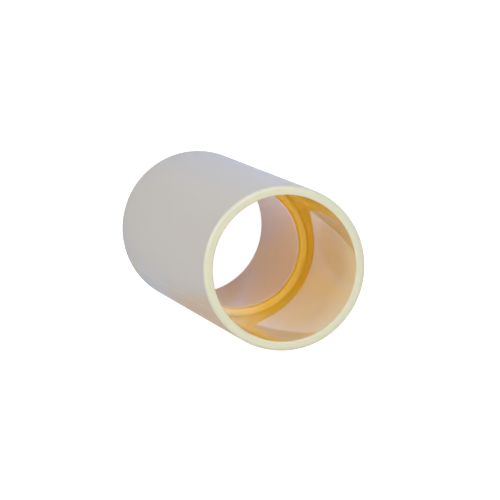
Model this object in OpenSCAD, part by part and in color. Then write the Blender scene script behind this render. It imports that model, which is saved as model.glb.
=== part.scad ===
// Straight coupling for thin-wall plastic pipe, moulded in one piece.
// A plain round sleeve has a socket at each end, and a raised ring halfway
// along stops both pipes. Each socket is parallel by the stop, where it grips
// the pipe, and widens slightly towards its mouth. The sleeve stands on one
// mouth, centred on the Z axis.

/* [Pipe] */
// Outside diameter of the pipe that the sockets take
pipe_od = 20; // [12:0.5:63]
// Clearance round the pipe in the parallel part of a socket, on the diameter
socket_clearance = 0.1; // [0.04:0.02:0.4]

/* [Sleeve] */
// Thickness of the moulded wall beside the parallel part of a socket
wall = 1.45; // [1.2:0.05:4]
// Length of the parallel part of each socket, from the side of the stop
grip_length = 12.5; // [4:0.5:40]
// Length of the widening part of each socket, up to its mouth
lead_length = 14; // [4:0.5:40]
// How much wider than the parallel part the mouth is, on the radius
lead_widening = 0.12; // [0.02:0.02:0.3]
// Radius of the outer edge of each mouth
mouth_outer_radius = 0.5; // [0.1:0.05:0.55]
// Radius of the inner edge of each mouth
mouth_inner_radius = 0.2; // [0.05:0.05:0.25]

/* [Stop] */
// Height of the stop above the socket wall
stop_height = 1.15; // [0.8:0.05:3]
// Width of the stop between its two sides
stop_width = 1.8; // [1:0.1:4]
// Radius of the two corners of its crest
crest_radius = 0.4; // [0.1:0.05:0.45]
// Radius of the fillet at each foot of the stop
foot_fillet = 0.3; // [0.1:0.05:0.35]

/* [Hidden] */

$fn = 128;

grip_r = (pipe_od + socket_clearance) / 2;
mouth_r = grip_r + lead_widening;
sleeve_r = grip_r + wall;
crest_r = grip_r - stop_height;
foot_block_r = grip_r - foot_fillet;
sleeve_l = 2 * (lead_length + grip_length) + stop_width;
middle = sleeve_l / 2;
upper_foot = middle + stop_width / 2;
lower_foot = middle - stop_width / 2;

// How far a scrap runs out past its corner, so that it never ends on a face
scrap_overlap = 0.1;

// The scrap that rounds a square corner of the section when it is taken away.
// X is the distance from the axis and Y the height, and into_x and into_y are
// 1 or -1, the ways from the corner into the plastic.
module corner_scrap(corner, into_x, into_y, radius) {
    centre = corner + [into_x, into_y] * radius;
    difference() {
        polygon([
            corner - [into_x, into_y] * scrap_overlap,
            [centre[0], corner[1]],
            centre,
            [corner[0], centre[1]]
        ]);
        translate(centre) circle(radius);
    }
}

// Section of the sleeve and its stop, with every corner sharp and a square
// block in each foot of the stop
module sharp_section() {
    polygon([
        [mouth_r, 0],
        [sleeve_r, 0],
        [sleeve_r, sleeve_l],
        [mouth_r, sleeve_l],
        [mouth_r, sleeve_l - mouth_inner_radius],
        [grip_r, sleeve_l - lead_length],
        [grip_r, upper_foot + foot_fillet],
        [foot_block_r, upper_foot + foot_fillet],
        [foot_block_r, upper_foot],
        [crest_r, upper_foot],
        [crest_r, lower_foot],
        [foot_block_r, lower_foot],
        [foot_block_r, lower_foot - foot_fillet],
        [grip_r, lower_foot - foot_fillet],
        [grip_r, lead_length],
        [mouth_r, mouth_inner_radius]
    ]);
}

// The same section with its mouths and crest rounded, and each foot block
// hollowed to a fillet
module section() {
    difference() {
        sharp_section();
        corner_scrap([sleeve_r, 0], -1, 1, mouth_outer_radius);
        corner_scrap([sleeve_r, sleeve_l], -1, -1, mouth_outer_radius);
        corner_scrap([mouth_r, 0], 1, 1, mouth_inner_radius);
        corner_scrap([mouth_r, sleeve_l], 1, -1, mouth_inner_radius);
        corner_scrap([crest_r, upper_foot], 1, -1, crest_radius);
        corner_scrap([crest_r, lower_foot], 1, 1, crest_radius);
        translate([foot_block_r, upper_foot + foot_fillet]) circle(foot_fillet);
        translate([foot_block_r, lower_foot - foot_fillet]) circle(foot_fillet);
    }
}

// The sleeve and its stop, one moulding in cream plastic
module coupling() {
    color("#E9E5D3") rotate_extrude() section();
}

coupling();
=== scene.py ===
import math

import bpy
from mathutils import Matrix, Vector


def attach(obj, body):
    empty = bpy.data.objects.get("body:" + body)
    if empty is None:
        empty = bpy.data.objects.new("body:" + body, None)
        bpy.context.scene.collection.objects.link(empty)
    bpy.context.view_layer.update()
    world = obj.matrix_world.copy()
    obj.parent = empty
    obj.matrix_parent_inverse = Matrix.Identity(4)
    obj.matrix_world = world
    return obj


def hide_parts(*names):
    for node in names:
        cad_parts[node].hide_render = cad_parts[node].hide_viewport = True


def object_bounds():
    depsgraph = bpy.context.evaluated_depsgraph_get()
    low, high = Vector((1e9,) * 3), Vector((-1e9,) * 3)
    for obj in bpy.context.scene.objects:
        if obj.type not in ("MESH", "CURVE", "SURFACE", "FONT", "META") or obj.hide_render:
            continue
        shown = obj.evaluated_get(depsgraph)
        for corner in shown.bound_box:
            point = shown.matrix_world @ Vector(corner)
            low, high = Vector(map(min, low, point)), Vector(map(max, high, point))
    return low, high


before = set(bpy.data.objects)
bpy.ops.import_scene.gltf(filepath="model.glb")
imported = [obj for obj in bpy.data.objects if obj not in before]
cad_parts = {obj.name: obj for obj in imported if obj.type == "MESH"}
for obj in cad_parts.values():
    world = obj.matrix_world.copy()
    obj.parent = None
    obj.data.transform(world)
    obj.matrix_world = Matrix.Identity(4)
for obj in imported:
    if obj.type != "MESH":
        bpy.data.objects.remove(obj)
cad_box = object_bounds()
scene = bpy.context.scene
scene.view_settings.view_transform = "Standard"
# Light that enters the bore or the wall is scattered many times before it leaves
scene.cycles.max_bounces = 24
scene.cycles.diffuse_bounces = 16


# The coupling's form. The real one is a single injection moulding in cream PVC:
# a plain sleeve, two sockets that widen towards their mouths, and a stop ring
# halfway along the bore. Here its section is swept once round the axis.
outer_radius = 0.0115
length = cad_box[1].z - cad_box[0].z
grip_radius = 0.01005
mouth_radius = 0.01017
stop_radius = 0.0089
lead_length = 0.014
stop_width = 0.0018
mouth_outer_round = 0.0005
mouth_inner_round = 0.0002
crest_round = 0.0004
foot_round = 0.0003
steps_around = 256
steps_per_round = 8


def feed(tree, value, socket):
    """Feeds a socket from another node's output or from a plain value."""
    if isinstance(value, bpy.types.NodeSocket):
        tree.links.new(value, socket)
    else:
        socket.default_value = value


def add_math(tree, operation, *values):
    """Works out one sum or comparison of node outputs and plain values."""
    node = tree.nodes.new("ShaderNodeMath")
    node.operation = operation
    for value, socket in zip(values, node.inputs):
        feed(tree, value, socket)
    return node.outputs[0]


def chosen_by_corner(tree, values):
    """Gives each corner of the section its own value, in the corners' order."""
    node = tree.nodes.new("GeometryNodeIndexSwitch")
    node.data_type = "FLOAT"
    while len(node.index_switch_items) < len(values):
        node.index_switch_items.new()
    feed(tree, tree.nodes.new("GeometryNodeInputIndex").outputs[0], node.inputs[0])
    for value, socket in zip(values, node.inputs[1:]):
        feed(tree, value, socket)
    return node.outputs[0]


def swept_section_tree():
    """Sweeps the coupling's section, rounded at its corners, once round the axis."""
    tree = bpy.data.node_groups.new("swept coupling section", "GeometryNodeTree")
    for name, kind in (
        ("Outer Radius", "NodeSocketFloat"),
        ("Mouth Radius", "NodeSocketFloat"),
        ("Grip Radius", "NodeSocketFloat"),
        ("Stop Radius", "NodeSocketFloat"),
        ("Length", "NodeSocketFloat"),
        ("Lead Length", "NodeSocketFloat"),
        ("Stop Width", "NodeSocketFloat"),
        ("Mouth Outer Round", "NodeSocketFloat"),
        ("Mouth Inner Round", "NodeSocketFloat"),
        ("Crest Round", "NodeSocketFloat"),
        ("Foot Round", "NodeSocketFloat"),
        ("Steps Around", "NodeSocketInt"),
        ("Steps per Round", "NodeSocketInt"),
        ("Material", "NodeSocketMaterial"),
    ):
        tree.interface.new_socket(name, in_out="INPUT", socket_type=kind)
    tree.interface.new_socket("Geometry", in_out="OUTPUT", socket_type="NodeSocketGeometry")
    size = tree.nodes.new("NodeGroupInput").outputs
    nodes, links = tree.nodes, tree.links

    middle = add_math(tree, "MULTIPLY", size["Length"], 0.5)
    half_stop = add_math(tree, "MULTIPLY", size["Stop Width"], 0.5)
    upper_foot = add_math(tree, "ADD", middle, half_stop)
    lower_foot = add_math(tree, "SUBTRACT", middle, half_stop)
    upper_lead = add_math(tree, "SUBTRACT", size["Length"], size["Lead Length"])
    corners = (
        (size["Outer Radius"], 0.0, size["Mouth Outer Round"]),
        (size["Mouth Radius"], 0.0, size["Mouth Inner Round"]),
        (size["Grip Radius"], size["Lead Length"], 0.0),
        (size["Grip Radius"], lower_foot, size["Foot Round"]),
        (size["Stop Radius"], lower_foot, size["Crest Round"]),
        (size["Stop Radius"], upper_foot, size["Crest Round"]),
        (size["Grip Radius"], upper_foot, size["Foot Round"]),
        (size["Grip Radius"], upper_lead, 0.0),
        (size["Mouth Radius"], size["Length"], size["Mouth Inner Round"]),
        (size["Outer Radius"], size["Length"], size["Mouth Outer Round"]),
    )
    radii, heights, rounds = zip(*corners)

    ring = nodes.new("GeometryNodeMeshCircle")
    ring.inputs["Vertices"].default_value = len(corners)
    outline = nodes.new("GeometryNodeMeshToCurve")
    links.new(ring.outputs[0], outline.inputs[0])
    # The sweep puts the section's X outwards from its path and its Y downwards
    corner_place = nodes.new("ShaderNodeCombineXYZ")
    from_path = add_math(tree, "SUBTRACT", chosen_by_corner(tree, radii), size["Grip Radius"])
    downwards = add_math(tree, "MULTIPLY", chosen_by_corner(tree, heights), -1.0)
    links.new(from_path, corner_place.inputs["X"])
    links.new(downwards, corner_place.inputs["Y"])
    place = nodes.new("GeometryNodeSetPosition")
    links.new(outline.outputs[0], place.inputs["Geometry"])
    links.new(corner_place.outputs[0], place.inputs["Position"])
    fillet = nodes.new("GeometryNodeFilletCurve")
    fillet.mode = "POLY"
    links.new(place.outputs[0], fillet.inputs["Curve"])
    links.new(chosen_by_corner(tree, rounds), fillet.inputs["Radius"])
    links.new(size["Steps per Round"], fillet.inputs["Count"])

    path = nodes.new("GeometryNodeCurvePrimitiveCircle")
    links.new(size["Steps Around"], path.inputs["Resolution"])
    links.new(size["Grip Radius"], path.inputs["Radius"])
    sweep = nodes.new("GeometryNodeCurveToMesh")
    links.new(path.outputs[0], sweep.inputs["Curve"])
    links.new(fillet.outputs[0], sweep.inputs["Profile Curve"])
    smooth = nodes.new("GeometryNodeSetShadeSmooth")
    links.new(sweep.outputs[0], smooth.inputs["Geometry"])
    realize = nodes.new("GeometryNodeRealizeInstances")
    links.new(smooth.outputs[0], realize.inputs[0])
    paint = nodes.new("GeometryNodeSetMaterial")
    links.new(realize.outputs[0], paint.inputs["Geometry"])
    links.new(size["Material"], paint.inputs["Material"])
    links.new(paint.outputs[0], nodes.new("NodeGroupOutput").inputs[0])
    return tree


def add_mix(tree, factor, first, second):
    """Blends two colours, each either a node's output or a plain colour."""
    node = tree.nodes.new("ShaderNodeMix")
    node.data_type = "RGBA"
    feed(tree, factor, node.inputs["Factor"])
    feed(tree, first, node.inputs["A"])
    feed(tree, second, node.inputs["B"])
    return node.outputs["Result"]


def add_step(tree, value, start, end):
    """Rises smoothly from 0 at the start value to 1 at the end value."""
    node = tree.nodes.new("ShaderNodeMapRange")
    node.interpolation_type = "SMOOTHSTEP"
    node.inputs["From Min"].default_value = start
    node.inputs["From Max"].default_value = end
    tree.links.new(value, node.inputs["Value"])
    return node.outputs["Result"]


def add_overlap(tree, *masks):
    """Is on only where every mask is on."""
    overlap = masks[0]
    for mask in masks[1:]:
        overlap = add_math(tree, "MULTIPLY", overlap, mask)
    return overlap


def add_distance_along(tree, place, direction):
    """The distance from the origin in one direction."""
    node = tree.nodes.new("ShaderNodeVectorMath")
    node.operation = "DOT_PRODUCT"
    tree.links.new(place, node.inputs[0])
    node.inputs[1].default_value = direction
    return node.outputs["Value"]


def add_distance_from_axis(tree, place):
    """The distance from the coupling's axis."""
    flat = tree.nodes.new("ShaderNodeVectorMath")
    flat.operation = "MULTIPLY"
    flat.inputs[1].default_value = (1.0, 1.0, 0.0)
    tree.links.new(place, flat.inputs[0])
    node = tree.nodes.new("ShaderNodeVectorMath")
    node.operation = "LENGTH"
    tree.links.new(flat.outputs[0], node.inputs[0])
    return node.outputs["Value"]


def around(degrees):
    """The direction away from the axis at an angle round it."""
    return Vector((math.cos(math.radians(degrees)), math.sin(math.radians(degrees)), 0.0))


# The plastic: one cream, painted as two differently lit copies on the rim and on the outside,
# with a painted highlight on the mouths' outer edges, where light enters from two sides, and a
# painted glow down the bore, honey and then darker orange, for light that crosses it many times,
# paler on the side where light falls straight in. The mould left a parting line on each side, a
# low ridge with a painted highlight, a yellow smear at the end of one, and a gate streak on the rim.
# Painted light: the rim and the outside are two differently lit copies of the one cream
rim_cream_as_lit = (0.63, 0.655, 0.56, 1.0)
outside_cream_as_lit = (0.68, 0.63, 0.52, 1.0)
# A painted highlight for the mouths' outer edges
edge_painted_highlight = (0.72, 0.74, 0.66, 1.0)
# A painted glow in the bore: honey near the mouths, darker orange deeper, paler on its lit side
honey_painted_glow = (0.96, 0.77, 0.36, 1.0)
deep_painted_glow = (0.99, 0.745, 0.08, 1.0)
lit_side_painted_glow = (0.95, 0.89, 0.70, 1.0)
# Depths down the bore from its nearer mouth, where the painted glow starts and deepens
painted_glow_from = -0.0001
painted_glow_to = 0.0006
deep_glow_from = 0.0018
deep_glow_to = 0.0129
# The painted glow is paler on one side of the bore, a painted lit side where light falls straight in,
# from here to here off the axis
lit_angle = -30
lit_from = 0.001
lit_to = 0.008
parting_angle = -33.75
parting_half_width = 0.00014
# The parting line's paler colour is a painted highlight on its ridge
parting_painted_highlight = (0.765, 0.715, 0.595, 1.0)
parting_height = 0.000006
smear_half_width = 0.0010
smear_length = 0.0052
smear_yellow = (0.76, 0.66, 0.24, 1.0)
gate_angle = 97.25
gate_radius = 0.01072
gate_half_width = 0.00013
gate_half_length = 0.00125
gate_pale = (0.62, 0.65, 0.60, 1.0)
bore_roughness = 0.05
outside_roughness = 0.16
refractive_index = 1.54
# How far red, green and blue light spread in the wall
scatter_reach_mm = (0.6, 0.45, 0.35)
millimetre = 0.001

plastic = bpy.data.materials.new("moulded_cream_pvc")
plastic.use_nodes = True
tree = plastic.node_tree
shader = tree.nodes["Principled BSDF"]
shader.inputs["IOR"].default_value = refractive_index
shader.inputs["Subsurface Weight"].default_value = 1.0
shader.inputs["Subsurface Radius"].default_value = scatter_reach_mm
shader.inputs["Subsurface Scale"].default_value = millimetre
place = tree.nodes.new("ShaderNodeTexCoord").outputs["Object"]
height = add_distance_along(tree, place, (0.0, 0.0, 1.0))
from_axis = add_distance_from_axis(tree, place)

in_bore = add_step(tree, from_axis, mouth_radius + mouth_inner_round, mouth_radius)
on_outside = add_step(tree, from_axis, outer_radius - mouth_outer_round / 4, outer_radius)
from_middle = add_math(tree, "ABSOLUTE", add_math(tree, "SUBTRACT", height, length / 2))
mouth_depth = add_math(tree, "SUBTRACT", length / 2, from_middle)
# Where the painted glow fills the bore, how it deepens, and where it is paler on its lit side
painted_glow_part = add_overlap(tree, in_bore, add_step(tree, mouth_depth, painted_glow_from, painted_glow_to))
deep_glow_part = add_step(tree, mouth_depth, deep_glow_from, deep_glow_to)
lit_side_glow_part = add_step(tree, add_distance_along(tree, place, around(lit_angle)), lit_from, lit_to)
# Where the painted highlight on the mouths' outer edges lies
edge_highlight_part = add_overlap(
    tree,
    add_step(tree, from_axis, outer_radius - mouth_outer_round, outer_radius - mouth_outer_round / 2),
    add_step(tree, mouth_depth, mouth_outer_round, mouth_outer_round / 2),
)

from_parting = add_math(tree, "ABSOLUTE", add_distance_along(tree, place, around(parting_angle + 90)))
towards_parting = add_distance_along(tree, place, around(parting_angle))
parting_part = add_overlap(tree, on_outside, add_step(tree, from_parting, parting_half_width, 0.0))
smear_part = add_overlap(
    tree,
    add_step(tree, from_parting, smear_half_width, smear_half_width / 2),
    add_step(tree, height, smear_length, smear_length / 2),
    add_step(
        tree, towards_parting, outer_radius - 2 * mouth_outer_round, outer_radius - mouth_outer_round
    ),
)
gate_across = add_math(tree, "ABSOLUTE", add_math(tree, "SUBTRACT", from_axis, gate_radius))
gate_along = add_math(tree, "ABSOLUTE", add_distance_along(tree, place, around(gate_angle + 90)))
towards_gate = add_distance_along(tree, place, around(gate_angle))
gate_part = add_overlap(
    tree,
    add_step(tree, gate_across, gate_half_width, 0.0),
    add_step(tree, gate_along, gate_half_length, gate_half_length / 2),
    add_step(tree, height, length - mouth_outer_round, length),
    add_step(tree, towards_gate, 0.0, gate_radius),
)

# The base colour: the cream's two painted lit copies, the painted highlights, the marks, and the bore's
# painted glow
outside = add_mix(tree, parting_part, outside_cream_as_lit, parting_painted_highlight)
rim = add_mix(tree, gate_part, rim_cream_as_lit, gate_pale)
skin = add_mix(tree, on_outside, rim, outside)
skin = add_mix(tree, edge_highlight_part, skin, edge_painted_highlight)
skin = add_mix(tree, smear_part, skin, smear_yellow)
deep_glow_colour = add_mix(tree, lit_side_glow_part, deep_painted_glow, lit_side_painted_glow)
bore = add_mix(tree, deep_glow_part, honey_painted_glow, deep_glow_colour)
tree.links.new(add_mix(tree, painted_glow_part, skin, bore), shader.inputs["Base Color"])
rougher = add_math(tree, "MULTIPLY", on_outside, outside_roughness - bore_roughness)
tree.links.new(add_math(tree, "ADD", rougher, bore_roughness), shader.inputs["Roughness"])
ridge = tree.nodes.new("ShaderNodeBump")
ridge.inputs["Distance"].default_value = parting_height
tree.links.new(parting_part, ridge.inputs["Height"])
tree.links.new(ridge.outputs["Normal"], shader.inputs["Normal"])

seed_mesh = bpy.data.meshes.new("coupling_seed")
coupling_seed = bpy.data.objects.new("coupling_seed", seed_mesh)
scene.collection.objects.link(coupling_seed)
sweep_modifier = coupling_seed.modifiers.new("sweep", "NODES")
sweep_modifier.node_group = swept_section_tree()
sweep_inputs = {
    "Outer Radius": outer_radius,
    "Mouth Radius": mouth_radius,
    "Grip Radius": grip_radius,
    "Stop Radius": stop_radius,
    "Length": length,
    "Lead Length": lead_length,
    "Stop Width": stop_width,
    "Mouth Outer Round": mouth_outer_round,
    "Mouth Inner Round": mouth_inner_round,
    "Crest Round": crest_round,
    "Foot Round": foot_round,
    "Steps Around": steps_around,
    "Steps per Round": steps_per_round,
    "Material": plastic,
}
for socket in sweep_modifier.node_group.interface.items_tree:
    if socket.in_out == "INPUT":
        sweep_modifier[socket.identifier] = sweep_inputs[socket.name]
flat_first = coupling_seed.modifiers.new("flat faces lead the normals", "WEIGHTED_NORMAL")
flat_first.mode = "FACE_AREA"
flat_first.weight = 100
coupling_mesh = bpy.data.meshes.new_from_object(
    coupling_seed.evaluated_get(bpy.context.evaluated_depsgraph_get())
)
bpy.data.objects.remove(coupling_seed)
coupling = bpy.data.objects.new("moulded_coupling", coupling_mesh)
scene.collection.objects.link(coupling)
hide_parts("coupling")
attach(coupling, "root")


# The floor under the coupling: pale, and white to the camera, with the soft shadow kept.
# Past one corner it is painted warm, as painted warm light that it reflects and throws back onto
# the coupling's lower side. To reflected and refracted rays the floor glows with a painted
# reflection: cool on both sides of the bore, dim at one edge of it, bluish round the coupling,
# and less blue past that corner.
floor_half_width = 1.5
pale_paper = (0.6, 0.6, 0.6, 1.0)
# Past one corner the paper is painted warm, as painted warm light for the coupling's lower side
painted_warm_light_paper = (0.62, 0.44, 0.28, 1.0)
# Painted reflections: colours the floor glows with, seen only by reflected and refracted rays
middle_sheen = (0.66, 0.66, 0.65, 1.0)
cool_sheen = (0.55, 0.64, 0.80, 1.0)
dim_sheen = (0.46, 0.49, 0.54, 1.0)
cool_from = 0.0005
cool_to = 0.0030
dim_from = 0.0027
dim_to = 0.0048
outer_sheen = (0.09, 0.17, 0.37, 1.0)
warm_sheen = (0.12, 0.14, 0.22, 1.0)
warm_angle = 45
warm_from = 0.00601
warm_to = 0.01485
camera_white = (0.85, 0.88, 0.98, 1.0)

floor_mesh = bpy.data.meshes.new("floor")
floor_mesh.from_pydata(
    [(x * floor_half_width, y * floor_half_width, 0.0) for x, y in ((-1, -1), (1, -1), (1, 1), (-1, 1))],
    [],
    [(0, 1, 2, 3)],
)
floor = bpy.data.objects.new("floor", floor_mesh)
scene.collection.objects.link(floor)
paper = bpy.data.materials.new("pale_floor")
paper.use_nodes = True
paper_tree = paper.node_tree
paper_shader = paper_tree.nodes["Principled BSDF"]
paper_shader.inputs["Roughness"].default_value = 1.0
paper_shader.inputs["Specular IOR Level"].default_value = 0.0
on_floor = paper_tree.nodes.new("ShaderNodeTexCoord").outputs["Object"]
seen_by = paper_tree.nodes.new("ShaderNodeLightPath").outputs
along_warm = add_distance_along(paper_tree, on_floor, around(warm_angle))
warm_light_part = add_step(paper_tree, along_warm, warm_from, warm_to)
across_bore = add_distance_along(paper_tree, on_floor, (1.0, 0.0, 0.0))
from_middle_line = add_math(paper_tree, "ABSOLUTE", across_bore)
cool_part = add_step(paper_tree, from_middle_line, cool_from, cool_to)
dim_part = add_step(paper_tree, across_bore, dim_from, dim_to)
round_coupling = add_step(
    paper_tree, add_distance_from_axis(paper_tree, on_floor), mouth_radius, outer_radius
)
# The paper's colour, with its painted warm light past one corner
paper_colour = add_mix(paper_tree, warm_light_part, pale_paper, painted_warm_light_paper)
paper_tree.links.new(paper_colour, paper_shader.inputs["Base Color"])
# The painted reflections that the floor glows with for reflected and refracted rays
bore_sheen = add_mix(paper_tree, cool_part, middle_sheen, cool_sheen)
bore_sheen = add_mix(paper_tree, dim_part, bore_sheen, dim_sheen)
open_sheen = add_mix(paper_tree, warm_light_part, outer_sheen, warm_sheen)
sheen = add_mix(paper_tree, round_coupling, bore_sheen, open_sheen)
shown = add_mix(paper_tree, seen_by["Is Camera Ray"], sheen, camera_white)
paper_tree.links.new(shown, paper_shader.inputs["Emission Color"])
reflected_or_refracted = add_math(
    paper_tree, "MAXIMUM", seen_by["Is Glossy Ray"], seen_by["Is Transmission Ray"]
)
paper_tree.links.new(
    add_math(paper_tree, "MAXIMUM", seen_by["Is Camera Ray"], reflected_or_refracted),
    paper_shader.inputs["Emission Strength"],
)
floor_mesh.materials.append(paper)


# Soft plain studio light: an even dim sky, a broad lamp overhead, a long and slightly
# cool strip that draws the thin gleam on the upper left of the rim, a small lamp on
# the opposite side, and a low one in front of the sleeve and another behind it.
sky_white = (1.0, 1.0, 1.0, 1.0)
sky_strength = 0.24

world = bpy.data.worlds.new("soft_studio")
scene.world = world
world.use_nodes = True
sky = world.node_tree.nodes["Background"]
sky.inputs["Color"].default_value = sky_white
sky.inputs["Strength"].default_value = sky_strength


def area_lamp(name, place, width, height, power, colour):
    """Hangs a lamp that faces the middle of the coupling."""
    data = bpy.data.lights.new(name, "AREA")
    data.shape = "RECTANGLE"
    data.size = width
    data.size_y = height
    data.energy = power
    data.color = colour
    lamp = bpy.data.objects.new(name, data)
    lamp.location = place
    target = Vector((0.0, 0.0, length / 2))
    lamp.rotation_euler = (target - lamp.location).to_track_quat("-Z", "Y").to_euler()
    scene.collection.objects.link(lamp)


area_lamp(
    "strip_lamp", Vector((-0.29, -0.13, 0.56)), width=0.6, height=0.1, power=1.36, colour=(0.83, 0.82, 1.0)
)
area_lamp(
    "overhead_lamp", Vector((0.0, 0.0, 0.62)), width=0.5, height=0.5, power=1.96, colour=(1.0, 0.92, 0.64)
)
area_lamp(
    "right_lamp", Vector((0.54, 0.0, 0.31)), width=0.2, height=0.2, power=0.44, colour=(1.0, 0.96, 0.81)
)
area_lamp(
    "front_lamp", Vector((0.0, -0.6, 0.15)), width=0.3, height=0.3, power=0.83, colour=(1.0, 1.0, 0.95)
)
area_lamp(
    "back_lamp", Vector((0.1, 0.6, 0.06)), width=0.3, height=0.3, power=0.6, colour=(1.0, 1.0, 1.0)
)


# The camera, at the photograph's angle: it looks down into the upper mouth, and
# the coupling's axis points to the lower right of the picture.
photo_width = 500
# Where the coupling's middle lies in the photograph, in pixels
centre_x = 238.30
centre_y = 246.22
focal_length_px = 3797
view_distance = 0.5497
# How far the axis leans from the line of sight, and how far below level it then points
axis_tilt = math.radians(15.22)
axis_turn = math.radians(25.45)
sensor_width = 36.0

axis_in_view = Vector((
    math.sin(axis_tilt) * math.cos(axis_turn),
    -math.sin(axis_tilt) * math.sin(axis_turn),
    math.cos(axis_tilt),
))
front_in_view = Vector((
    -math.cos(axis_tilt) * math.cos(axis_turn),
    math.cos(axis_tilt) * math.sin(axis_turn),
    math.sin(axis_tilt),
))
side_in_view = axis_in_view.cross(front_in_view)
world_from_view = Matrix((side_in_view, -front_in_view, axis_in_view))
half_photo = photo_width / 2
centre_in_view = Vector((
    (centre_x - half_photo) / focal_length_px * view_distance,
    (half_photo - centre_y) / focal_length_px * view_distance,
    -view_distance,
))
camera_data = bpy.data.cameras.new("camera")
camera_data.sensor_width = sensor_width
camera_data.lens = focal_length_px / photo_width * sensor_width
camera = bpy.data.objects.new("camera", camera_data)
camera_place = Vector((0.0, 0.0, length / 2)) - world_from_view @ centre_in_view
camera.matrix_world = Matrix.Translation(camera_place) @ world_from_view.to_4x4()
scene.collection.objects.link(camera)
scene.camera = camera
